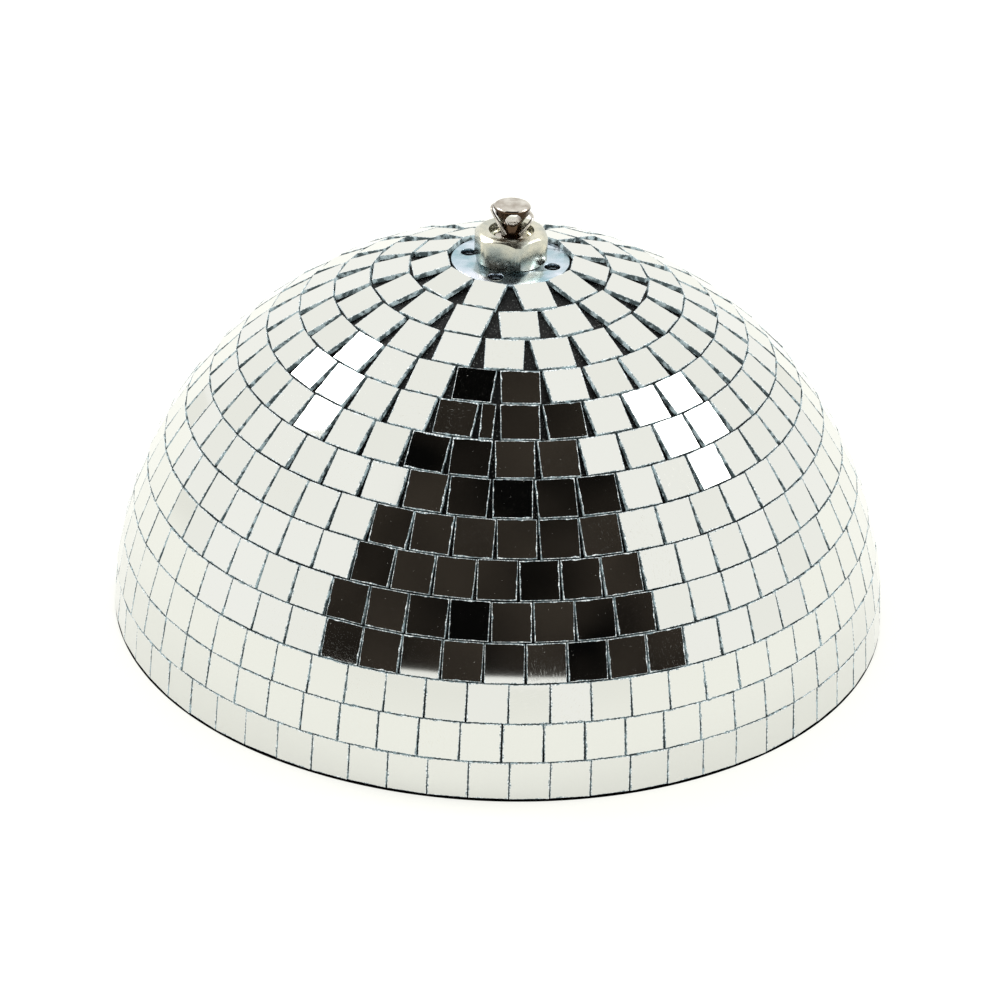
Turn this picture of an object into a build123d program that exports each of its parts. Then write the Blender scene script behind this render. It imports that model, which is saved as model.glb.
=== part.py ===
from build123d import *
import os
from math import atan, cos, degrees, radians, sin

# Half mirror ball, 20 cm, standing on its rim with the pole up. Millimetres.
# The origin is on the pole axis, in the plane of the core's rim, and +Z points up through the pole.
# Heights called "centre ..." are counted from the ball's own centre, which lies just below the rim.

# The ball
ball_radius = 100.0
centre_below_rim = 2.3
mirror_thickness = 1.2
adhesive_thickness = 0.5
adhesive_gap = 0.02
adhesive_above_rim = 0.5
adhesive_plate_gap = 0.5
core_wall = 2.5

# The mirror tiles, laid by hand in rings, from the rim up to the pole
tile_size = 9.6
first_edge_latitude = 1.65
row_pitch_angle = 5.66
# The flat tiles' corners need more room near the pole: extra latitude by row number
pole_row_spread = {12: 0.06, 13: 0.20, 14: 0.42}
closing_tile_gap = 0.3
shortest_closing_tile = 2.0
top_row_lift_angle = 5.0
top_row_tile_width = 8.5
# One entry a row: the azimuth of a joint between two tiles, the angle from one joint to the next,
# and about how far round from that joint the row was closed with what gap remained
tile_rows = [
    (-93.2, 5.67, 170),
    (-94.6, 5.84, 205),
    (-93.9, 5.93, 150),
    (-91.8, 6.16, 190),
    (-91.0, 6.49, 160),
    (-93.7, 6.90, 215),
    (-90.8, 7.47, 175),
    (-92.1, 8.39, 200),
    (-92.2, 9.45, 155),
    (-91.7, 11.10, 355),
    (-92.4, 13.30, 185),
    (-99.6, 17.40, 165),
    (-96.7, 24.00, 210),
    (-87.4, 32.40, 356),
]

# The zinc disc on the pole, and the disc that backs it inside
plate_radius = 14.9
plate_top_centre_height = 99.0
plate_thickness = 1.5
plate_hole_radius = 2.0
plate_hole_circle_radius = 11.1
plate_first_hole_azimuth = -108.4
backing_hole_radius = 2.4
core_boss_radius = 18.0
core_boss_thickness = 4.2
core_boss_skin = 1.5
core_pole_hole_radius = 5.2

# The M10 stud and its nuts
stud_radius = 4.98
nut_bore_radius = 5.0
nut_across_flats = 17.0
nut_height = 8.2
nut_chamfer_radius = 9.35
nut_chamfer_slope = 0.577
nut_mouth_radius = 5.7
nut_mouth_depth = 2.3
outer_nut_corner_azimuth = -77.3
inner_nut_corner_azimuth = -63.4
lock_washer_outer_radius = 8.0
lock_washer_thickness = 2.2
lock_washer_split = 1.6
stud_below_nut = 2.1

# The swivel pin, which turns in the stud
pin_radius = 2.5
pin_running_clearance = 0.05
pin_head_radius = 4.25
pin_head_top_above_nut = 6.8
pin_head_drum_above_nut = 4.6
pin_head_foot_above_nut = 2.2
pin_head_foot_radius = 2.6
pin_cap_radius = 4.6
pin_cap_thickness = 0.85
pin_cap_edge = 0.3
pin_end_chamfer = 0.45
pin_collar_radius = 4.0
pin_collar_thickness = 0.5
pin_collar_clearance = 0.1
cross_hole_radius = 2.05
cross_hole_above_nut = 3.85
cross_hole_turn = 7.0
thrust_washer_outer_radius = 4.8
thrust_washer_thickness = 0.9
thrust_washer_clearance = 0.1
clip_outer_radius = 4.4
clip_thickness = 0.8
clip_groove_radius = 1.9
clip_clearance = 0.05
clip_mouth = 3.0
pin_tail = 1.5

# The split ring, an open loop of spring wire: a round bow behind the pin's head, and two straight legs
# that come down on its sides into the nut's mouth
ring_radius = 5.7
ring_wire_radius = 0.6
ring_roll = 12.0
ring_bow_overrun = 13.0
ring_above_nut = 4.4
ring_left_end = (-1.5, -3.2, -0.2)
ring_right_end = (2.1, -3.2, 0.0)

# Worked out from the dimensions above
tile_back_radius = ball_radius - mirror_thickness
core_outer_radius = tile_back_radius - adhesive_thickness
core_inner_radius = core_outer_radius - core_wall
adhesive_outer_radius = tile_back_radius - adhesive_gap
plate_top = plate_top_centre_height - centre_below_rim
plate_seat = plate_top - plate_thickness
boss_bottom = plate_seat - core_boss_thickness
backing_bottom = boss_bottom - plate_thickness
lock_washer_bottom = backing_bottom - lock_washer_thickness
inner_nut_bottom = lock_washer_bottom - nut_height
outer_nut_top = plate_top + nut_height
stud_top = outer_nut_top - nut_mouth_depth
stud_bottom = inner_nut_bottom - stud_below_nut
stud_bore_radius = pin_radius + pin_running_clearance
thrust_washer_top = stud_bottom - thrust_washer_clearance
thrust_washer_bottom = thrust_washer_top - thrust_washer_thickness
clip_top = thrust_washer_bottom - clip_clearance
clip_bottom = clip_top - clip_thickness
pin_bottom = clip_bottom - pin_tail


def rod(radius, low, high):
    """Round bar about the pole axis between two heights."""
    return Pos(0, 0, low) * Cylinder(radius, high - low, align=(Align.CENTER, Align.CENTER, Align.MIN))


def ball_above(radius, floor):
    """The part of a ball about the mirror ball's centre that lies above this height."""
    ball = Pos(0, 0, -centre_below_rim) * Sphere(radius)
    return ball & rod(2 * radius, floor, floor + 2 * radius)


def washer(inner_radius, outer_radius, low, high):
    """Flat washer or disc about the pole axis between two heights."""
    return rod(outer_radius, low, high) - rod(inner_radius, low, high)


def turned(points):
    """Solid turned about the pole axis from an outline of (radius, height) points."""
    outline = Polyline(*[(across, 0, height) for across, height in points], close=True)
    return revolve(make_face(outline), Axis.Z, 360)


def plate_holes(hole_radius, low, high):
    """The four holes of the pole plate, as bars between two heights."""
    bar = Pos(plate_hole_circle_radius, 0, 0) * rod(hole_radius, low, high)
    return [Rot(Z=plate_first_hole_azimuth + 90 * number) * bar for number in range(4)]


def core_shell():
    """Moulded plastic half ball with a thick flat pole, which the plate is clamped to."""
    shell = ball_above(core_outer_radius, 0) - ball_above(core_inner_radius, -1)
    shell += rod(core_boss_radius, boss_bottom, plate_seat - core_boss_skin)
    shell += rod(plate_radius, boss_bottom, plate_seat)
    shell -= rod(core_boss_radius, plate_seat, plate_seat + core_wall)
    shell -= rod(core_pole_hole_radius, boss_bottom, plate_seat)
    shell -= plate_holes(backing_hole_radius, boss_bottom, plate_seat)
    return shell


def adhesive_coat():
    """Skin of black adhesive that the tiles are bedded in."""
    skin = ball_above(adhesive_outer_radius, adhesive_above_rim) - ball_above(core_outer_radius, 0)
    return skin - rod(plate_radius + adhesive_plate_gap, boss_bottom, plate_top)


def row_latitude(row):
    """Latitude of the middle of a row's tiles, with row 1 at the rim."""
    return first_edge_latitude + row_pitch_angle * (row - 0.5) + pole_row_spread.get(row, 0)


def mirror_tile(row, azimuth, width):
    """One flat tile, its back against the adhesive, facing out at this azimuth in this row."""
    lift = top_row_lift_angle if row == len(tile_rows) else 0
    tile = Box(mirror_thickness, width, tile_size, align=(Align.MIN, Align.CENTER, Align.MIN))
    lifted = Pos(tile_back_radius, 0, -tile_size / 2) * Rot(Y=lift) * tile
    return Pos(0, 0, -centre_below_rim) * Rot(Z=azimuth) * Rot(Y=-row_latitude(row)) * lifted


def tile_row(row):
    """One ring of whole tiles, with a narrow closing tile where the remaining gap takes one."""
    joint, step, closing_turn = tile_rows[row - 1]
    last_joint = joint + step * round(closing_turn / step)
    width = top_row_tile_width if row == len(tile_rows) else tile_size
    whole_tiles = int(360 / step)
    tiles = [mirror_tile(row, last_joint - step * (number + 0.5), width) for number in range(whole_tiles)]
    latitude = radians(row_latitude(row))
    upper_edge_radius = tile_back_radius * cos(latitude) - tile_size / 2 * sin(latitude)
    gap_angle = 360 - step * whole_tiles
    joint_angle = step - 2 * degrees(atan(width / 2 / upper_edge_radius))
    closing_width = 2 * upper_edge_radius * sin(radians(gap_angle - joint_angle) / 2) - closing_tile_gap
    if closing_width > shortest_closing_tile:
        tiles.append(mirror_tile(row, last_joint + gap_angle / 2, closing_width))
    return Compound(tiles)


def pole_plate():
    """Zinc-plated disc on the pole with four screw holes."""
    disc = washer(nut_bore_radius, plate_radius, plate_seat, plate_top)
    return disc - plate_holes(plate_hole_radius, plate_seat, plate_top)


def backing_plate():
    """Disc inside the core that spreads the clamping load, with four clearance holes."""
    disc = washer(nut_bore_radius, plate_radius, backing_bottom, boss_bottom)
    return disc - plate_holes(backing_hole_radius, backing_bottom, boss_bottom)


def lock_washer():
    """Split spring washer under the inner nut."""
    spring = washer(nut_bore_radius, lock_washer_outer_radius, lock_washer_bottom, backing_bottom)
    middle = (lock_washer_bottom + backing_bottom) / 2
    split = Box(2 * lock_washer_outer_radius, lock_washer_split, 2 * lock_washer_thickness)
    return spring - Pos(lock_washer_outer_radius, 0, middle) * split


def hexagon_nut(low, corner_azimuth):
    """Hexagon nut with both its rims chamfered, before its mouth is cut."""
    high = low + nut_height
    corner_radius = nut_across_flats / 2 / cos(radians(30))
    drop = (corner_radius - nut_across_flats / 2 + 0.5) * nut_chamfer_slope
    prism = Pos(0, 0, low) * extrude(RegularPolygon(corner_radius, 6), nut_height)
    waist = turned(
        [
            (0, low),
            (nut_across_flats / 2 - 0.5, low),
            (nut_chamfer_radius, low + drop),
            (nut_chamfer_radius, high - drop),
            (nut_across_flats / 2 - 0.5, high),
            (0, high),
        ]
    )
    return Rot(Z=corner_azimuth) * prism & waist


def outer_nut():
    """Nut on the pole plate, whose counterbored mouth clears the split ring."""
    nut = hexagon_nut(plate_top, outer_nut_corner_azimuth) - rod(nut_bore_radius, plate_top, outer_nut_top)
    return nut - rod(nut_mouth_radius, stud_top, outer_nut_top)


def inner_nut():
    """Nut inside the core that clamps the core between the two plates."""
    nut = hexagon_nut(inner_nut_bottom, inner_nut_corner_azimuth)
    return nut - rod(nut_bore_radius, inner_nut_bottom, lock_washer_bottom)


def hollow_stud():
    """Threaded stud through the pole, bored for the swivel pin."""
    return washer(stud_bore_radius, stud_radius, stud_bottom, stud_top)


def swivel_pin():
    """Pin with a drilled and capped head, a collar on top of the stud, and a clip groove at its tail."""
    head_top = outer_nut_top + pin_head_top_above_nut
    cap_low = head_top - pin_cap_thickness
    head_foot = outer_nut_top + pin_head_foot_above_nut
    collar_low = stud_top + pin_collar_clearance
    collar_high = collar_low + pin_collar_thickness
    pin = turned(
        [
            (0, pin_bottom),
            (pin_radius - pin_end_chamfer, pin_bottom),
            (pin_radius, pin_bottom + pin_end_chamfer),
            (pin_radius, clip_bottom),
            (clip_groove_radius, clip_bottom),
            (clip_groove_radius, clip_top),
            (pin_radius, clip_top),
            (pin_radius, collar_low),
            (pin_collar_radius, collar_low),
            (pin_collar_radius, collar_high),
            (pin_radius, collar_high),
            (pin_radius, head_foot),
            (pin_head_foot_radius, head_foot),
            (pin_head_radius, outer_nut_top + pin_head_drum_above_nut),
            (pin_head_radius, cap_low),
            (pin_cap_radius, cap_low),
            (pin_cap_radius, head_top - pin_cap_edge),
            (pin_cap_radius - pin_cap_edge, head_top),
            (0, head_top),
        ]
    )
    drill = Rot(Z=cross_hole_turn) * Rot(X=90) * Cylinder(cross_hole_radius, 4 * pin_head_radius)
    return pin - Pos(0, 0, outer_nut_top + cross_hole_above_nut) * drill


def thrust_washer():
    """Washer that carries the ball's weight, between the stud's end and the clip."""
    inner_radius = pin_radius + pin_running_clearance
    return washer(inner_radius, thrust_washer_outer_radius, thrust_washer_bottom, thrust_washer_top)


def retaining_clip():
    """Open spring clip in the pin's groove."""
    clip = washer(clip_groove_radius, clip_outer_radius, clip_bottom, clip_top)
    middle = (clip_bottom + clip_top) / 2
    mouth = Box(2 * clip_outer_radius, clip_mouth, 2 * clip_thickness)
    return clip - Pos(clip_outer_radius, 0, middle) * mouth


def wire_leg(start, end):
    """Straight run of the ring's wire between two points, with a ball at each end."""
    axis = Plane(origin=start, z_dir=end - start)
    run = Cylinder(ring_wire_radius, (end - start).length, align=(Align.CENTER, Align.CENTER, Align.MIN))
    ball = Sphere(ring_wire_radius)
    return axis * run + Pos(start) * ball + Pos(end) * ball


def bow_point(angle):
    """Point of the ring's bow at this angle round it, before the bow is raised above the nut."""
    across = ring_radius * cos(radians(angle))
    along = ring_radius * sin(radians(angle))
    return Vector(across * cos(radians(ring_roll)), along, -across * sin(radians(ring_roll)) + ring_above_nut)


def split_ring():
    """Open wire ring round the pin's head, rolled to one side, with its gap at the front."""
    section = Plane.XZ * Pos(ring_radius, 0) * Circle(ring_wire_radius)
    bow = Rot(Z=-ring_bow_overrun) * revolve(section, Axis.Z, 180 + 2 * ring_bow_overrun)
    ring = Pos(0, 0, ring_above_nut) * Rot(Y=ring_roll) * bow
    ring += wire_leg(bow_point(180 + ring_bow_overrun), Vector(*ring_left_end))
    ring += wire_leg(bow_point(-ring_bow_overrun), Vector(*ring_right_end))
    return Pos(0, 0, outer_nut_top) * ring


pieces = {
    "core_shell": core_shell(),
    "adhesive_coat": adhesive_coat(),
    "pole_plate": pole_plate(),
    "backing_plate": backing_plate(),
    "lock_washer": lock_washer(),
    "outer_nut": outer_nut(),
    "inner_nut": inner_nut(),
    "hollow_stud": hollow_stud(),
    "swivel_pin": swivel_pin(),
    "thrust_washer": thrust_washer(),
    "retaining_clip": retaining_clip(),
    "split_ring": split_ring(),
}
for row in range(1, len(tile_rows) + 1):
    pieces[f"tile_row_{row:02d}"] = tile_row(row)

os.makedirs("parts", exist_ok=True)
for name, piece in pieces.items():
    export_step(piece, f"parts/{name}.step")
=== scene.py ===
"""Half mirror ball standing on a pale table: a black plastic dome faced with silvered glass tiles, a bolted
pole plate with its nuts and hollow stud, and the swivel pin and split ring that it hangs by. Metres."""

import math

import bmesh
import bpy
import numpy as np
from mathutils import Matrix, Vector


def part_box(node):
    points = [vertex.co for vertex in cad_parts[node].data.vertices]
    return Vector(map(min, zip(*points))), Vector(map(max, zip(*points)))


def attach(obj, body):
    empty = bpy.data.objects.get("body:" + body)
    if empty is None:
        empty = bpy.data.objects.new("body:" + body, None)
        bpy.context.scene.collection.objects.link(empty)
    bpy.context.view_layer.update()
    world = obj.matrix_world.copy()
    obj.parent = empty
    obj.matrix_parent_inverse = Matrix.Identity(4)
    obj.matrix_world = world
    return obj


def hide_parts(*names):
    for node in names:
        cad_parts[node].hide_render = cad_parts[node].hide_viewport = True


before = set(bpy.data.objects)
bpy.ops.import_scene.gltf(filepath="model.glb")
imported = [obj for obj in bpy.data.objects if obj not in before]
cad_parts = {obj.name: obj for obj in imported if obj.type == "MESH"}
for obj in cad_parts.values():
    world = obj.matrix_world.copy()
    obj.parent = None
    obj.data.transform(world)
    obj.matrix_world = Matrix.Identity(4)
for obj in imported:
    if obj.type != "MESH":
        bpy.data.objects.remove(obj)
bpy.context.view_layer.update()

# ---------------------------------------------------------------------------------------------------------
# Camera. A long lens about a metre from the ball, some 28 degrees above the table and not quite level.
# It is shifted up and aside without turning, so that the ball sits in the middle of the frame.
ball_centre = np.array([0.0, 0.0, -0.0023])
camera_distance = 1.0
camera_elevation = math.radians(28.38)
camera_roll = math.radians(2.1)
camera_aside = 0.00059
camera_rise = 0.02668
camera_lens = 136.8

level_up = np.array([0.0, math.sin(camera_elevation), math.cos(camera_elevation)])
level_right = np.array([1.0, 0.0, 0.0])
camera_back = np.array([0.0, -math.cos(camera_elevation), math.sin(camera_elevation)])
camera_right = math.cos(camera_roll) * level_right + math.sin(camera_roll) * level_up
camera_up = math.cos(camera_roll) * level_up - math.sin(camera_roll) * level_right
camera_place = (
    ball_centre + camera_distance * camera_back + camera_aside * camera_right + camera_rise * camera_up
)
camera = bpy.data.objects.new("camera", bpy.data.cameras.new("camera"))
camera.data.lens = camera_lens
camera.matrix_world = Matrix(np.vstack([np.column_stack([camera_right, camera_up, camera_back, camera_place]),
                                        [0, 0, 0, 1]]).tolist())
bpy.context.scene.collection.objects.link(camera)
bpy.context.scene.camera = camera
bpy.context.scene.view_settings.view_transform = "Standard"

# ---------------------------------------------------------------------------------------------------------
# Table and light. The ball stands on a sheet of opal acrylic that glows from below, under a white ceiling
# and two soft boxes. A painted shadow, a black unlit ring on the sheet under the rim, gives the thin dark
# line round the foot. Seen from underneath the sheet is clear, so that the inside of the dome shows.
table_half_width = 3.0
table_glow = 0.6
table_white = "#fffffb"
table_albedo = "#a8a8a4"
# Painted contact shadow: a black ring on the sheet, with no glow, just under the ball's rim
painted_shadow_black = "#0c0c0c"
painted_shadow_radius = 0.0974
painted_shadow_half_width = 0.0027
ceiling_dim = "#e9e9e2"
ceiling_bright = "#ffffff"
ceiling_strength = 1.26
ceiling_patch_scale = 2.5
# Each soft box: its place, its width and its power
soft_boxes = [(-1.1, 0.6, 1.3, 0.7, 9.0), (1.2, 0.3, 1.2, 0.6, 7.0)]


def linear(hex_colour):
    """An sRGB hex colour as linear red, green, blue and alpha."""
    channels = [int(hex_colour[k : k + 2], 16) / 255 for k in (1, 3, 5)]
    return [c / 12.92 if c <= 0.04045 else ((c + 0.055) / 1.055) ** 2.4 for c in channels] + [1.0]


def add_node(tree, kind, inputs=None, **settings):
    """Adds a node with its settings, and fills its inputs with values or with other nodes' sockets."""
    node = tree.nodes.new(kind)
    for name, value in settings.items():
        setattr(node, name, value)
    for name, value in (inputs or {}).items():
        if isinstance(value, bpy.types.NodeSocket):
            tree.links.new(value, node.inputs[name])
        else:
            node.inputs[name].default_value = value
    return node


def new_material(name):
    """An empty node material and its tree."""
    material = bpy.data.materials.new(name)
    material.use_nodes = True
    material.node_tree.nodes.clear()
    return material, material.node_tree


def new_object(name, points, faces, *materials):
    """A mesh object at the origin from a list of points and of faces."""
    mesh = bpy.data.meshes.new(name)
    mesh.from_pydata(np.asarray(points, float).reshape(-1, 3).tolist(), [], faces)
    for material in materials:
        mesh.materials.append(material)
    made = bpy.data.objects.new(name, mesh)
    bpy.context.scene.collection.objects.link(made)
    return made


opal_acrylic, tree = new_material("opal_acrylic")
place = add_node(tree, "ShaderNodeTexCoord")
far_out = add_node(tree, "ShaderNodeVectorMath", {0: place.outputs["Object"]}, operation="LENGTH")
# Painted shadow: in a thin ring under the rim the glow is cut off and the sheet turned black
in_painted_shadow = add_node(
    tree, "ShaderNodeMath",
    {0: far_out.outputs["Value"], 1: painted_shadow_radius, 2: painted_shadow_half_width}, operation="COMPARE",
)
light = add_node(
    tree, "ShaderNodeMath", {0: in_painted_shadow.outputs[0], 1: -table_glow, 2: table_glow}, operation="MULTIPLY_ADD"
)
glow = add_node(tree, "ShaderNodeEmission", {"Color": linear(table_white), "Strength": light.outputs[0]})
albedo_with_painted_shadow = add_node(tree, "ShaderNodeMix", {"Factor": in_painted_shadow.outputs[0]}, data_type="RGBA")
albedo_with_painted_shadow.inputs["A"].default_value = linear(table_albedo)
albedo_with_painted_shadow.inputs["B"].default_value = linear(painted_shadow_black)
matt = add_node(tree, "ShaderNodeBsdfDiffuse", {"Color": albedo_with_painted_shadow.outputs["Result"]})
sheet = add_node(tree, "ShaderNodeAddShader")
tree.links.new(glow.outputs[0], sheet.inputs[0])
tree.links.new(matt.outputs[0], sheet.inputs[1])
clear = add_node(tree, "ShaderNodeBsdfTransparent")
side = add_node(tree, "ShaderNodeNewGeometry")
one_way = add_node(tree, "ShaderNodeMixShader", {"Fac": side.outputs["Backfacing"]})
tree.links.new(sheet.outputs[0], one_way.inputs[1])
tree.links.new(clear.outputs[0], one_way.inputs[2])
add_node(tree, "ShaderNodeOutputMaterial", {"Surface": one_way.outputs[0]})

w = table_half_width
table = new_object("table", [(-w, -w, 0), (w, -w, 0), (w, w, 0), (-w, w, 0)], [(0, 1, 2, 3)], opal_acrylic)

world = bpy.data.worlds.new("white_ceiling")
world.use_nodes = True
tree = world.node_tree
tree.nodes.clear()
direction = add_node(tree, "ShaderNodeTexCoord")
clouds = add_node(
    tree, "ShaderNodeTexNoise", {"Vector": direction.outputs["Generated"], "Scale": ceiling_patch_scale}
)
tint = add_node(tree, "ShaderNodeMix", {"Factor": clouds.outputs["Fac"]}, data_type="RGBA")
tint.inputs["A"].default_value = linear(ceiling_dim)
tint.inputs["B"].default_value = linear(ceiling_bright)
sky = add_node(tree, "ShaderNodeBackground", {"Color": tint.outputs["Result"], "Strength": ceiling_strength})
add_node(tree, "ShaderNodeOutputWorld", {"Surface": sky.outputs[0]})
bpy.context.scene.world = world

for number, (x, y, z, width, power) in enumerate(soft_boxes):
    lamp = bpy.data.objects.new(f"soft_box_{number}", bpy.data.lights.new(f"soft_box_{number}", "AREA"))
    lamp.data.size = width
    lamp.data.energy = power
    back = np.array([x, y, z]) / math.sqrt(x * x + y * y + z * z)
    across = np.cross([0, 0, 1], back)
    across /= np.linalg.norm(across)
    lamp.matrix_world = Matrix(
        np.vstack([np.column_stack([across, np.cross(back, across), back, (x, y, z)]), [0, 0, 0, 1]]).tolist()
    )
    bpy.context.scene.collection.objects.link(lamp)

# ---------------------------------------------------------------------------------------------------------
# Core shell. The half ball is injection moulded in black ABS, with a satin skin and a thick flat pole that
# the metal plates clamp. It is a merged and edge-rounded copy of the CAD solid.
core_edge_round = 0.0003
moulded_skin_grain = 0.0008
flow_marks_per_metre = 45.0
abs_black = "#0b0b0c"


def rounded_copy(node, name, edge_round, material, body):
    """A CAD node's mesh merged into one skin, its sharp edges rounded, and shaded smooth across the rest."""
    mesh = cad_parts[node].data.copy()
    skin = bmesh.new()
    skin.from_mesh(mesh)
    bmesh.ops.remove_doubles(skin, verts=skin.verts, dist=1e-6)
    bmesh.ops.dissolve_limit(skin, angle_limit=math.radians(0.5), verts=skin.verts, edges=skin.edges)
    for face in skin.faces:
        face.smooth = True
    skin.to_mesh(mesh)
    skin.free()
    mesh.materials.clear()
    mesh.materials.append(material)
    made = bpy.data.objects.new(name, mesh)
    bpy.context.scene.collection.objects.link(made)
    bevel = made.modifiers.new("edge_round", "BEVEL")
    bevel.width = edge_round
    bevel.segments = 2
    bevel.limit_method = "ANGLE"
    bevel.angle_limit = math.radians(32)
    bevel.harden_normals = True
    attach(made, body)
    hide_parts(node)
    return made


moulded_abs, tree = new_material("moulded_black_abs")
place = add_node(tree, "ShaderNodeTexCoord")
grain = add_node(
    tree, "ShaderNodeTexNoise",
    {"Vector": place.outputs["Object"], "Scale": 1 / moulded_skin_grain, "Detail": 3.0},
)
flow = add_node(
    tree, "ShaderNodeTexNoise",
    {"Vector": place.outputs["Object"], "Scale": flow_marks_per_metre, "Detail": 2.0}
)
satin = add_node(tree, "ShaderNodeMapRange", {"Value": flow.outputs["Fac"], "To Min": 0.34, "To Max": 0.52})
skin_bump = add_node(
    tree, "ShaderNodeBump", {"Height": grain.outputs["Fac"], "Strength": 0.25, "Distance": 0.00004}
)
surface = add_node(
    tree, "ShaderNodeBsdfPrincipled",
    {
        "Base Color": linear(abs_black),
        "Roughness": satin.outputs["Result"],
        "IOR": 1.54,
        "Normal": skin_bump.outputs["Normal"],
    },
)
add_node(tree, "ShaderNodeOutputMaterial", {"Surface": surface.outputs[0]})
rounded_copy("core_shell", "moulded_core", core_edge_round, moulded_abs, "dome")

# ---------------------------------------------------------------------------------------------------------
# Adhesive. A brushed coat of black contact adhesive beds the tiles. It stands up in low ridges between them
# and shows as a rough, half-glossy black in every joint, with a little dust and glass grit stuck in it.
tile_back_radius = 0.0988
coat_inner_radius = 0.09832
coat_swell = 0.00016
coat_bottom_latitude = math.radians(1.72)
coat_top_radius = 0.0154
coat_around = 480
coat_up = 96
glue_lumps_per_metre = 1400.0
grit_per_metre = 2600.0
glue_black = "#060607"
glue_grit = "#7c7e7b"


def closed_grid(rows, columns, joined_rows=False):
    """Quads of a grid whose columns join up in a ring, and whose rows do too where joined_rows is set."""
    row = np.arange(rows if joined_rows else rows - 1)[:, None]
    column = np.arange(columns)[None, :]
    above, beside = (row + 1) % rows, (column + 1) % columns
    row, above = row * columns, above * columns
    corners = [row + column, row + beside, above + beside, above + column]
    return np.stack(corners, -1).reshape(-1, 4).tolist()


def waves(place, length, seed, count=24):
    """Smooth noise from -1 to 1: a sum of sine waves of about this length that run in random directions."""
    rng = np.random.default_rng(seed)
    heading = rng.normal(size=(count, 3))
    heading /= np.linalg.norm(heading, axis=1, keepdims=True)
    pace = 2 * np.pi / (length * rng.uniform(0.6, 1.6, count))
    phase = rng.uniform(0, 2 * np.pi, count)
    return np.sin(place @ (heading * pace[:, None]).T + phase).sum(-1) / math.sqrt(count) / 1.6


def on_sphere(radius, latitude, azimuth):
    """Points about the ball's centre at these radii, latitudes and azimuths."""
    out, up = np.broadcast_arrays(radius * np.cos(latitude), radius * np.sin(latitude))
    return np.stack(np.broadcast_arrays(out * np.cos(azimuth), out * np.sin(azimuth), up), -1) + ball_centre


coat_top_latitude = math.acos(coat_top_radius / tile_back_radius)
azimuth = np.linspace(0, 2 * np.pi, coat_around, endpoint=False)[None, :]
rise = np.linspace(coat_bottom_latitude, coat_top_latitude, coat_up)[:, None]
swell = waves(on_sphere(tile_back_radius, rise, azimuth), 0.004, 1) * coat_swell
outside = on_sphere(tile_back_radius - 0.00002 + np.clip(swell, -0.0002, 0.0002), rise, azimuth)
inside = on_sphere(coat_inner_radius, rise[::-8], azimuth)
coat_points = np.concatenate([outside, inside])

contact_adhesive, tree = new_material("black_contact_adhesive")
place = add_node(tree, "ShaderNodeTexCoord")
lumps = add_node(
    tree, "ShaderNodeTexNoise",
    {"Vector": place.outputs["Object"], "Scale": glue_lumps_per_metre, "Detail": 3.0},
)
grit = add_node(
    tree, "ShaderNodeTexNoise", {"Vector": place.outputs["Object"], "Scale": grit_per_metre, "Detail": 1.0}
)
stuck = add_node(
    tree, "ShaderNodeMapRange",
    {"Value": grit.outputs["Fac"], "From Min": 0.66, "From Max": 0.72, "To Min": 0.0, "To Max": 0.75},
)
colour = add_node(tree, "ShaderNodeMix", {"Factor": stuck.outputs["Result"]}, data_type="RGBA")
colour.inputs["A"].default_value = linear(glue_black)
colour.inputs["B"].default_value = linear(glue_grit)
sheen = add_node(tree, "ShaderNodeMapRange", {"Value": lumps.outputs["Fac"], "To Min": 0.28, "To Max": 0.7})
bump = add_node(
    tree, "ShaderNodeBump", {"Height": lumps.outputs["Fac"], "Strength": 0.6, "Distance": 0.00015}
)
surface = add_node(
    tree, "ShaderNodeBsdfPrincipled",
    {
        "Base Color": colour.outputs["Result"],
        "Roughness": sheen.outputs["Result"],
        "IOR": 1.3,
        "Normal": bump.outputs["Normal"],
    },
)
add_node(tree, "ShaderNodeOutputMaterial", {"Surface": surface.outputs[0]})
coat = new_object(
    "adhesive_bed", coat_points, closed_grid(len(outside) + len(inside), coat_around, True), contact_adhesive
)
coat.data.polygons.foreach_set("use_smooth", [True] * len(coat.data.polygons))
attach(coat, "dome")
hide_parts("adhesive_coat")

# ---------------------------------------------------------------------------------------------------------
# Mirror tiles. Flat squares scored and snapped from 1.2 mm silvered float glass, laid by hand in rings from
# the rim to the pole. Each leans and turns a little on its bed, and its snapped arrises are chipped and
# ground dull, so they catch the light beside the clean silvering.
tile_size = 0.00950
low_row_tile_size = 0.00959
low_rows = 3
tile_size_spread = 0.00005
tile_thickness = 0.0012
arris_width = 0.00005
arris_depth = 0.00005
bleed_width = 0.00006
bleed_depth = 0.00002
chip_reach = 0.0003
arris_facet = 0.00045
side_facet = 0.002
# The higher these powers, the fewer deep chips and scuffed tiles there are
chip_rarity = 7
scuff_rarity = 4
wide_snap = 0.0004
edge_parts = 8
tile_lean = math.radians(0.55)
tile_turn = math.radians(0.6)
tile_shift = 0.00004
first_edge_latitude = 1.65
row_pitch = 5.66
pole_row_spread = {12: 0.06, 13: 0.20, 14: 0.42}
top_row_lift = math.radians(5.0)
top_row_tile_width = 0.0084
closing_tile_gap = 0.0004
shortest_closing_tile = 0.002
# Each row from the rim up: the azimuth of a joint between two tiles, the angle from one joint to the next,
# and about how far round from that joint the row was closed with what gap remained
tile_rows = [
    (-93.2, 5.67, 170),
    (-94.6, 5.84, 205),
    (-93.9, 5.93, 150),
    (-91.8, 6.16, 190),
    (-91.0, 6.49, 160),
    (-93.7, 6.90, 215),
    (-90.8, 7.47, 175),
    (-92.1, 8.39, 200),
    (-92.2, 9.45, 155),
    (-91.7, 11.10, 355),
    (-92.4, 13.30, 185),
    (-99.6, 17.40, 165),
    (-96.7, 24.00, 210),
    (-87.4, 32.40, 356),
]
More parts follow.
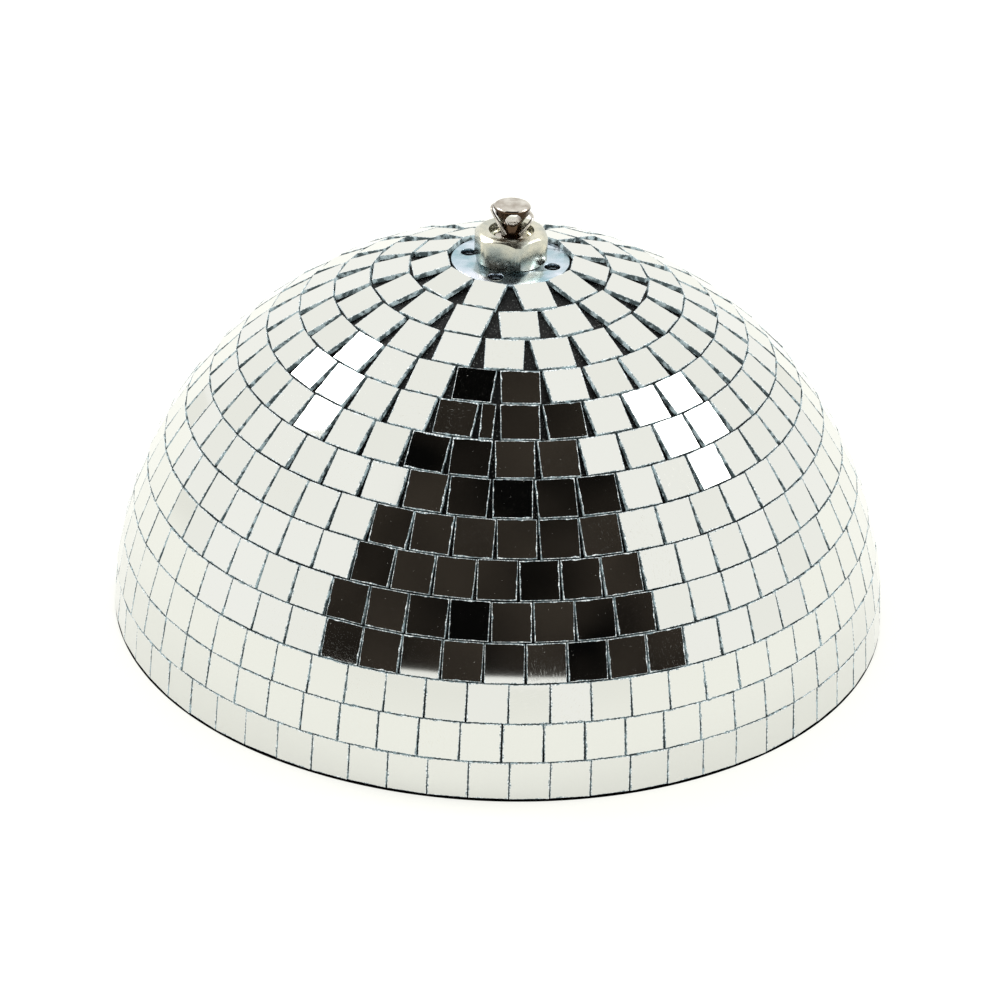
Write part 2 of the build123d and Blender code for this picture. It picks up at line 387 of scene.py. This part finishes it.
# Tiles whose upper edge snapped off wide, by row and azimuth
snapped_wide = {9: (-106, -97), 10: (-102, -64), 11: (-86, -72), 12: (-91, -73), 13: (-85, -60)}
silvered_glass = "#dcddd9"
mirror_dust = "#d9d6cc"
snapped_glass = "#eef4f6"
glass_green = "#75858b"
side_light = "#cfe1e6"
side_dark = "#5b686b"


def row_tiles(row):
    """Azimuths and widths of one row's whole tiles, and of the narrow one that closes it where one fits."""
    joint, step, closing_turn = tile_rows[row - 1]
    last_joint = joint + step * round(closing_turn / step)
    width = top_row_tile_width if row == len(tile_rows) else row_tile_size(row)
    whole = int(360 / step)
    azimuths = last_joint - step * (np.arange(whole) + 0.5)
    widths = np.full(whole, width)
    latitude = row_latitude(row)
    upper_edge_radius = tile_back_radius * math.cos(latitude) - tile_size / 2 * math.sin(latitude)
    gap = 360 - step * whole
    joint_angle = step - 2 * math.degrees(math.atan(width / 2 / upper_edge_radius))
    closing_width = 2 * upper_edge_radius * math.sin(math.radians(gap - joint_angle) / 2) - closing_tile_gap
    if closing_width > shortest_closing_tile:
        azimuths = np.append(azimuths, last_joint + gap / 2)
        widths = np.append(widths, closing_width)
    return np.radians(azimuths), widths


def row_tile_size(row):
    """Side of a row's tiles: the lowest rows, laid first, are the closest laid."""
    return low_row_tile_size if row <= low_rows else tile_size


def row_latitude(row):
    """Latitude of the middle of a row's tiles."""
    return math.radians(first_edge_latitude + row_pitch * (row - 0.5) + pole_row_spread.get(row, 0))


def turn(axis, angle):
    """Rotation matrices about a fixed axis, 0, 1 or 2, one for each angle."""
    angle = np.atleast_1d(angle)
    matrix = np.zeros((len(angle), 3, 3))
    first, second = (axis + 1) % 3, (axis + 2) % 3
    matrix[:, axis, axis] = 1
    matrix[:, first, first] = matrix[:, second, second] = np.cos(angle)
    matrix[:, second, first] = np.sin(angle)
    matrix[:, first, second] = -np.sin(angle)
    return matrix


def tile_blanks(widths, height, wide, rng):
    """Tiles lying flat, their backs at x = 0: four square rings of points, each in a little from the last.

    The rings are the back, the shoulder, the outside of the chipped arris and the edge of the clean face.
    The upper arris of a tile with wide set reaches further in, by an amount that varies along it.
    """
    corner = np.array([(-1, -1), (1, -1), (1, 1), (-1, 1)], float) / 2
    along = np.arange(edge_parts)[:, None] / edge_parts
    square = np.concatenate([(1 - along) * corner[k] + along * corner[(k + 1) % 4] for k in range(4)])
    sizes = np.stack([widths, np.full(len(widths), height)], -1)
    sizes = sizes + rng.uniform(-tile_size_spread, tile_size_spread, sizes.shape)
    chip = chip_reach * rng.random((len(widths), len(square), 2)) ** chip_rarity
    on_top = square[:, 1] > 0.49
    chip[:, :, 1] += wide_snap * wide[:, None] * on_top * rng.random((len(widths), len(square)))
    inset = np.array([0, 0, arris_width, arris_width + bleed_width])
    arris_top = tile_thickness - bleed_depth
    level = np.array([0, arris_top - arris_depth, arris_top, tile_thickness])
    rings = []
    for k in range(4):
        chipped = 2 * (inset[k] + chip * (k >= 2)) / sizes[:, None, :]
        flat = square * sizes[:, None, :] * (1 - chipped)
        rings.append(np.concatenate([np.full(flat.shape[:2] + (1,), level[k]), flat], -1))
    return np.concatenate(rings, 1)


def nearest_tile(azimuths, azimuth):
    """Number of the tile whose middle lies nearest to this azimuth in degrees."""
    return np.argmin(np.abs((azimuths - math.radians(azimuth) + np.pi) % (2 * np.pi) - np.pi))


def laid_tiles(row):
    """Points of one row's tiles on the ball, and the same tiles lying flat.

    A tile leans about its two edges and turns in its plane, stands on the bed, rises to the row's latitude
    and goes round to its azimuth.
    """
    rng = np.random.default_rng(100 + row)
    azimuths, widths = row_tiles(row)
    count = len(azimuths)
    lean = rng.normal(0, tile_lean, (count, 2)).clip(-2 * tile_lean, 2 * tile_lean)
    spin = rng.uniform(-tile_turn, tile_turn, count)
    shift = rng.uniform(-tile_shift, tile_shift, (count, 2))
    lift = top_row_lift if row == len(tile_rows) else 0
    wide = np.zeros(count)
    for azimuth in snapped_wide.get(row, ()):
        wide[nearest_tile(azimuths, azimuth)] = 1
    flat = tile_blanks(widths, row_tile_size(row), wide, rng)
    set_down = turn(1, lift + lean[:, 0]) @ turn(2, lean[:, 1]) @ turn(0, spin)
    stand = np.column_stack([np.full(count, tile_back_radius), shift])
    place = turn(2, azimuths) @ turn(1, np.full(count, -row_latitude(row)))
    if lift:
        foot = np.array([0, 0, tile_size / 2])
        points = (flat + foot) @ set_down.transpose(0, 2, 1) - foot + stand[:, None, :]
    else:
        points = flat @ set_down.transpose(0, 2, 1) + stand[:, None, :]
    points = points @ place.transpose(0, 2, 1) + ball_centre
    return points, flat


def tile_faces(count, around):
    """Faces of the tiles in order: the back, the sides, the arris, the bleed strip and the clean face."""
    ring = np.arange(around)
    beside = (ring + 1) % around
    band = np.stack([ring, beside, beside + around, ring + around], -1)
    bands = np.concatenate([band + around * level for level in range(3)])
    one = [ring[::-1].tolist()] + bands.tolist() + [(ring + 3 * around).tolist()]
    return [[point + tile * 4 * around for point in face] for tile in range(count) for face in one]


mirror, tree = new_material("silvered_float_glass")
on_tile = add_node(tree, "ShaderNodeUVMap", uv_map="tile_mm")
scuffed = add_node(tree, "ShaderNodeAttribute", attribute_name="scuffed")
stretched = add_node(tree, "ShaderNodeMapping", {"Vector": on_tile.outputs["UV"], "Scale": (0.7, 3.2, 1.0)})
hairs = add_node(
    tree, "ShaderNodeTexNoise", {"Vector": stretched.outputs["Vector"], "Scale": 1.0, "Detail": 4.0}
)
scratch = add_node(
    tree, "ShaderNodeMapRange",
    {"Value": hairs.outputs["Fac"], "From Min": 0.52, "From Max": 0.75, "To Min": 0.0, "To Max": 0.5},
)
wiped = add_node(
    tree, "ShaderNodeMath", {0: scratch.outputs["Result"], 1: scuffed.outputs["Fac"]}, operation="MULTIPLY"
)
specks = add_node(tree, "ShaderNodeTexNoise", {"Vector": on_tile.outputs["UV"], "Scale": 2.6, "Detail": 2.0})
dust = add_node(
    tree, "ShaderNodeMapRange",
    {"Value": specks.outputs["Fac"], "From Min": 0.745, "From Max": 0.78, "To Min": 0.0, "To Max": 0.6},
)
veil = add_node(tree, "ShaderNodeMath", {0: wiped.outputs[0], 1: dust.outputs["Result"]}, operation="MAXIMUM")
silver = add_node(tree, "ShaderNodeMix", {"Factor": veil.outputs[0]}, data_type="RGBA")
silver.inputs["A"].default_value = linear(silvered_glass)
silver.inputs["B"].default_value = linear(mirror_dust)
haze = add_node(tree, "ShaderNodeMapRange", {"Value": veil.outputs[0], "To Min": 0.02, "To Max": 0.55})
clean = add_node(tree, "ShaderNodeMapRange", {"Value": dust.outputs["Result"], "To Min": 1.0, "To Max": 0.1})
surface = add_node(
    tree, "ShaderNodeBsdfPrincipled",
    {
        "Base Color": silver.outputs["Result"],
        "Metallic": clean.outputs["Result"],
        "Roughness": haze.outputs["Result"],
    },
)
add_node(tree, "ShaderNodeOutputMaterial", {"Surface": surface.outputs[0]})

def snapped(name, light, dark, chip_size):
    """Snapped glass: bright and dark facets of about this size, glossy where clean and frosted where bruised.

    To the eye it is a broken, glittering line beside the smooth silvering.
    """
    material, tree = new_material(name)
    place = add_node(tree, "ShaderNodeTexCoord")
    chips = add_node(
        tree, "ShaderNodeTexNoise", {"Vector": place.outputs["Object"], "Scale": 1 / chip_size, "Detail": 2.0}
    )
    depth = add_node(
        tree, "ShaderNodeMapRange", {"Value": chips.outputs["Fac"], "From Min": 0.46, "From Max": 0.58}
    )
    tone = add_node(tree, "ShaderNodeMix", {"Factor": depth.outputs["Result"]}, data_type="RGBA")
    tone.inputs["A"].default_value = linear(dark)
    tone.inputs["B"].default_value = linear(light)
    frost = add_node(
        tree, "ShaderNodeMapRange", {"Value": chips.outputs["Fac"], "To Min": 0.08, "To Max": 0.4}
    )
    bump = add_node(
        tree, "ShaderNodeBump", {"Height": chips.outputs["Fac"], "Strength": 0.5, "Distance": 0.0001}
    )
    surface = add_node(
        tree, "ShaderNodeBsdfPrincipled",
        {
            "Base Color": tone.outputs["Result"],
            "Roughness": frost.outputs["Result"],
            "IOR": 1.52,
            "Normal": bump.outputs["Normal"],
        },
    )
    add_node(tree, "ShaderNodeOutputMaterial", {"Surface": surface.outputs[0]})
    return material


glass_arris = snapped("chipped_glass_arris", snapped_glass, glass_green, arris_facet)
glass_side = snapped("snapped_glass_side", side_light, side_dark, side_facet)

for row in range(1, len(tile_rows) + 1):
    points, flat = laid_tiles(row)
    count, around = len(points), 4 * edge_parts
    node = f"tile_row_{row:02d}"
    tiles = new_object(f"mirror_{node}", points, tile_faces(count, around), mirror, glass_arris, glass_side)
    faces_each = 3 * around + 2
    finish = np.where(np.arange(faces_each) <= around, 2, 1)
    finish[-1] = 0
    tiles.data.polygons.foreach_set("material_index", np.tile(finish, count).astype(np.int32))
    # The maker's wiping marks run a different way on each tile, and only some tiles are scuffed
    rng = np.random.default_rng(300 + row)
    swirl = rng.uniform(0, 2 * np.pi, count)
    start = rng.uniform(0, 900, (count, 2))
    flat_mm = flat[:, :, 1:] * 1000
    along, aside = np.cos(swirl), np.sin(swirl)
    wipe = np.stack([np.stack([along, -aside], -1), np.stack([aside, along], -1)], 1)
    tile_uv = (flat_mm @ wipe.transpose(0, 2, 1) + start[:, None, :]).reshape(-1, 2)
    corner_points = np.zeros(len(tiles.data.loops), np.int32)
    tiles.data.loops.foreach_get("vertex_index", corner_points)
    tile_mm = tiles.data.uv_layers.new(name="tile_mm")
    tile_mm.data.foreach_set("uv", tile_uv[corner_points].astype(np.float32).ravel())
    marks = tiles.data.attributes.new("scuffed", "FLOAT", "FACE")
    scuffing = np.repeat(rng.random(count) ** scuff_rarity, faces_each)
    marks.data.foreach_set("value", scuffing.astype(np.float32))
    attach(tiles, "dome")
    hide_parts(node)

# ---------------------------------------------------------------------------------------------------------
# Pole plate, backing plate and lock washer. Pressed from mild steel and zinc plated with a clear blue
# passivation: bright, cold in colour, with faint crystal frosting and rolling lines under the plating.
plate_edge_round = 0.00015
zinc_light = "#e6eaf6"
zinc_shade = "#93b3bf"


def plated(name, light, shade, patch, grain, rough_low, rough_high, streak=(1.0, 1.0, 1.0), sides="#ffffff"):
    """A plated metal: two tones in soft patches of this size, and a fine grain in its roughness and relief.

    Faces that do not look up are darkened with the last colour: painted shade, which stands for a dark
    reflection on the sides.
    """
    material, tree = new_material(name)
    place = add_node(tree, "ShaderNodeTexCoord")
    pulled = add_node(tree, "ShaderNodeMapping", {"Vector": place.outputs["Object"], "Scale": streak})
    patches = add_node(
        tree, "ShaderNodeTexNoise", {"Vector": place.outputs["Object"], "Scale": 1 / patch, "Detail": 3.0}
    )
    spread = add_node(
        tree, "ShaderNodeMapRange", {"Value": patches.outputs["Fac"], "From Min": 0.32, "From Max": 0.68}
    )
    tone = add_node(tree, "ShaderNodeMix", {"Factor": spread.outputs["Result"]}, data_type="RGBA")
    tone.inputs["A"].default_value = linear(shade)
    tone.inputs["B"].default_value = linear(light)
    # Painted shade: the less a face looks up, the more its colour is darkened by the last colour
    face = add_node(tree, "ShaderNodeNewGeometry")
    lie = add_node(tree, "ShaderNodeSeparateXYZ", {"Vector": face.outputs["Normal"]})
    level = add_node(
        tree, "ShaderNodeMapRange", {"Value": lie.outputs["Z"], "From Min": 0.3, "From Max": 0.7}
    )
    side_painted_shade_tint = add_node(tree, "ShaderNodeMix", {"Factor": level.outputs["Result"]}, data_type="RGBA")
    side_painted_shade_tint.inputs["A"].default_value = linear(sides)
    side_painted_shade_tint.inputs["B"].default_value = linear("#ffffff")
    toned = add_node(tree, "ShaderNodeMix", {"Factor": 1.0}, data_type="RGBA", blend_type="MULTIPLY")
    tree.links.new(tone.outputs["Result"], toned.inputs["A"])
    tree.links.new(side_painted_shade_tint.outputs["Result"], toned.inputs["B"])
    fine = add_node(
        tree, "ShaderNodeTexNoise", {"Vector": pulled.outputs["Vector"], "Scale": 1 / grain, "Detail": 3.0}
    )
    rough = add_node(
        tree, "ShaderNodeMapRange",
        {
            "Value": fine.outputs["Fac"],
            "From Min": 0.3,
            "From Max": 0.7,
            "To Min": rough_low,
            "To Max": rough_high,
        },
    )
    relief = add_node(
        tree, "ShaderNodeBump", {"Height": fine.outputs["Fac"], "Strength": 0.12, "Distance": 0.00003}
    )
    surface = add_node(
        tree, "ShaderNodeBsdfPrincipled",
        {
            "Base Color": toned.outputs["Result"],
            "Metallic": 1.0,
            "Roughness": rough.outputs["Result"],
            "Normal": relief.outputs["Normal"],
        },
    )
    add_node(tree, "ShaderNodeOutputMaterial", {"Surface": surface.outputs[0]})
    return material


bright_zinc = plated("bright_zinc_plate", zinc_light, zinc_shade, 0.007, 0.0004, 0.14, 0.32)
rounded_copy("pole_plate", "pole_plate_disc", plate_edge_round, bright_zinc, "dome")
rounded_copy("backing_plate", "backing_plate_disc", plate_edge_round, bright_zinc, "dome")
rounded_copy("lock_washer", "spring_lock_washer", plate_edge_round, bright_zinc, "dome")

# ---------------------------------------------------------------------------------------------------------
# Nuts. M10 nuts, hot forged, chamfered on both rims and zinc plated with a yellowish passivation that has
# gone cloudy and brown in places from handling.
nut_edge_round = 0.0007
nut_light = "#e2dcc8"
nut_shade = "#a3a9a4"

cloudy_zinc = plated("yellowed_zinc_nut", nut_light, nut_shade, 0.006, 0.0005, 0.14, 0.32)
rounded_copy("outer_nut", "pole_nut", nut_edge_round, cloudy_zinc, "dome")
rounded_copy("inner_nut", "clamp_nut", nut_edge_round, cloudy_zinc, "dome")

# ---------------------------------------------------------------------------------------------------------
# Hollow stud. A length of M10 x 1.5 threaded rod, rolled, plated like the nuts and bored for the pin.
thread_pitch = 0.0015
thread_depth = 0.00088
thread_flat = 0.18
thread_runout = 0.0008
stud_around = 72
stud_step = 0.00019
stud_bore_radius = 0.00255

low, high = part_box("hollow_stud")
stud_radius = (high.x - low.x) / 2
angle = np.linspace(0, 2 * np.pi, stud_around, endpoint=False)[None, :]
height = np.arange(high.z, low.z, -stud_step)[:, None]
height = np.append(height, [[low.z]], axis=0)
# The thread is a cut-off triangle wave that climbs one pitch a turn and fades out at both ends
wave = np.abs(((height / thread_pitch - angle / (2 * np.pi)) % 1) * 2 - 1)
crest = np.clip((wave - thread_flat) / (1 - 2 * thread_flat), 0, 1)
end_room = np.minimum(height - low.z, high.z - height)
end_taper = np.clip(1 - end_room / thread_runout, 0, 1) * thread_depth
outer = np.minimum(stud_radius - thread_depth * (1 - crest), stud_radius - end_taper)
bore_height = np.linspace(low.z, high.z, 6)[:, None] + 0 * angle
radii = np.concatenate([outer, np.full(bore_height.shape, stud_bore_radius)])
heights = np.concatenate([height + 0 * angle, bore_height])
stud_points = np.stack([radii * np.cos(angle), radii * np.sin(angle), heights], -1)
quads = [face[::-1] for face in closed_grid(len(stud_points), stud_around, True)]
stud = new_object("threaded_stud", stud_points, quads, cloudy_zinc)
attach(stud, "dome")
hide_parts("hollow_stud")

# ---------------------------------------------------------------------------------------------------------
# Swivel pin. Turned from mild steel with a capped and cross-drilled head, and nickel plated: a warm, bright
# grey with fine turning lines round it.
pin_edge_round = 0.0002
nickel_light = "#d6d1c9"
nickel_shade = "#a0968b"
# Painted shade for the pin's sides, which stands in for the dark reflection they show
pin_painted_side_shade = "#6b5849"
wire_light = "#dcd8d2"
wire_shade = "#a9a198"

# The pin's sides are darkened with painted shade
nickel = plated("bright_nickel", nickel_light, nickel_shade, 0.003, 0.00035, 0.08, 0.24, (0.2, 0.2, 3.0),
                pin_painted_side_shade)
rounded_copy("swivel_pin", "drilled_pin", pin_edge_round, nickel, "pin")

# ---------------------------------------------------------------------------------------------------------
# Thrust washer and retaining clip. A turned brass washer takes the weight under the stud, held by an oil
# blackened spring steel clip in the pin's groove.
washer_edge_round = 0.0001
brass_light = "#c9a45c"
brass_shade = "#9c7436"
clip_light = "#55565a"
clip_shade = "#2f3033"

turned_brass = plated("turned_brass", brass_light, brass_shade, 0.003, 0.0003, 0.2, 0.38)
rounded_copy("thrust_washer", "brass_thrust_washer", washer_edge_round, turned_brass, "pin")
black_spring = plated("oil_blackened_spring_steel", clip_light, clip_shade, 0.002, 0.0003, 0.3, 0.5)
rounded_copy("retaining_clip", "spring_clip", washer_edge_round, black_spring, "pin")

# ---------------------------------------------------------------------------------------------------------
# Split ring. Nickel plated spring wire laid double, sprung open round the pin's head: a round bow behind it,
# and two legs that come down on its sides into the nut's mouth, each cut off square and deburred.
ring_radius = 0.00535
wire_radius = 0.00028
ring_roll = math.radians(12)
bow_overrun = math.radians(13)
ring_above_nut = 0.0044
ring_right_end = (0.0021, -0.0032, 0.0)
ring_left_end = (-0.0015, -0.0032, -0.0002)
wire_around = 14
ring_steps = 160
bend_steps = 6

nickel_wire = plated("nickel_spring_wire", wire_light, wire_shade, 0.002, 0.0002, 0.1, 0.25)
bow_angle = np.linspace(-bow_overrun, math.pi + bow_overrun, 60)
across = ring_radius * np.cos(bow_angle)
along, above = ring_radius * np.sin(bow_angle), ring_above_nut - across * math.sin(ring_roll)
bow = np.stack([across * math.cos(ring_roll), along, above], -1)
path = np.concatenate([[ring_right_end], bow, [ring_left_end]]) + [0, 0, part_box("outer_nut")[1].z]
run = np.append(0, np.cumsum(np.linalg.norm(np.diff(path, axis=0), axis=1)))
reach = np.linspace(0, run[-1], ring_steps)
path = np.stack([np.interp(reach, run, path[:, k]) for k in range(3)], -1)
# A running mean rounds the two bends, and mirrored ends keep it from drawing the cut ends in
before, after = 2 * path[0] - path[bend_steps:0:-1], 2 * path[-1] - path[-2 : -bend_steps - 2 : -1]
padded = np.concatenate([before, path, after])
path = np.mean([padded[k : k + ring_steps] for k in range(2 * bend_steps + 1)], axis=0)
ahead = np.gradient(path, axis=0)
ahead /= np.linalg.norm(ahead, axis=1, keepdims=True)
out = path * [1, 1, 0]
out -= ahead * (out * ahead).sum(1, keepdims=True)
out /= np.linalg.norm(out, axis=1, keepdims=True)
over = np.cross(ahead, out)
# The last rings of each strand draw in to its deburred end
to_end = np.minimum(reach, run[-1] - reach) / wire_radius
radius = wire_radius * np.sqrt(np.clip(1 - (1 - np.clip(to_end, 0, 1)) ** 2, 0.3, 1))
turnwise = np.linspace(0, 2 * np.pi, wire_around, endpoint=False)[None, :, None]
section = np.cos(turnwise) * out[:, None, :] + np.sin(turnwise) * over[:, None, :]
strand_points, strand_faces = [], []
for strand in (0, 1):
    middle = path + wire_radius * (2 * strand - 1) * over
    strand_points.append(middle[:, None, :] + radius[:, None, None] * section)
    first = strand * ring_steps * wire_around
    quads = (np.array(closed_grid(ring_steps, wire_around)) + first).tolist()
    last = first + (ring_steps - 1) * wire_around
    ends = [list(range(first, first + wire_around))[::-1], list(range(last, last + wire_around))]
    strand_faces += quads + ends
ring = new_object("split_ring_wire", np.concatenate(strand_points), strand_faces, nickel_wire)
ring.data.polygons.foreach_set("use_smooth", [True] * len(ring.data.polygons))
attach(ring, "ring")
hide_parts("split_ring")

# ---------------------------------------------------------------------------------------------------------
# Studio cloth. Mirrors in an all-white studio would vanish, so one plain black cotton cloth hangs in an arc
# from in front of the ball to overhead, wide at its foot. Only the mirrors and the metals see it.
cloth_radius = 1.4
cloth_low = math.radians(12)
cloth_high = math.radians(100)
cloth_foot_half_width = 1.7
cloth_top_half_width = 0.3
cloth_fold = 0.16
cloth_rows = 24
cloth_black = "#070707"
cloth_worn = "#3a342f"

# The cloth is a strip of a cylinder about the X axis whose half width shrinks evenly from its foot to its top
climb = np.linspace(0, 1, cloth_rows)[:, None]
lift = cloth_low + (cloth_high - cloth_low) * climb
half_width = cloth_foot_half_width + (cloth_top_half_width - cloth_foot_half_width) * climb
across = np.array([[-1.0, 1.0]]) * half_width
front, up = -cloth_radius * np.cos(lift), cloth_radius * np.sin(lift)
cloth_points = np.stack(np.broadcast_arrays(across, front, up), -1)
quads = [[2 * k, 2 * k + 1, 2 * k + 3, 2 * k + 2] for k in range(cloth_rows - 1)]
black_cotton, tree = new_material("black_cotton_cloth")
place = add_node(tree, "ShaderNodeTexCoord")
folds = add_node(
    tree, "ShaderNodeTexNoise", {"Vector": place.outputs["Object"], "Scale": 1 / cloth_fold, "Detail": 3.0}
)
tone = add_node(
    tree, "ShaderNodeMapRange", {"Value": folds.outputs["Fac"], "From Min": 0.35, "From Max": 0.7}
)
colour = add_node(tree, "ShaderNodeMix", {"Factor": tone.outputs["Result"]}, data_type="RGBA")
colour.inputs["A"].default_value = linear(cloth_black)
colour.inputs["B"].default_value = linear(cloth_worn)
matt = add_node(tree, "ShaderNodeBsdfDiffuse", {"Color": colour.outputs["Result"]})
add_node(tree, "ShaderNodeOutputMaterial", {"Surface": matt.outputs[0]})
cloth = new_object("studio_cloth", cloth_points, quads, black_cotton)
cloth.visible_camera = False
cloth.visible_diffuse = False
cloth.visible_shadow = False
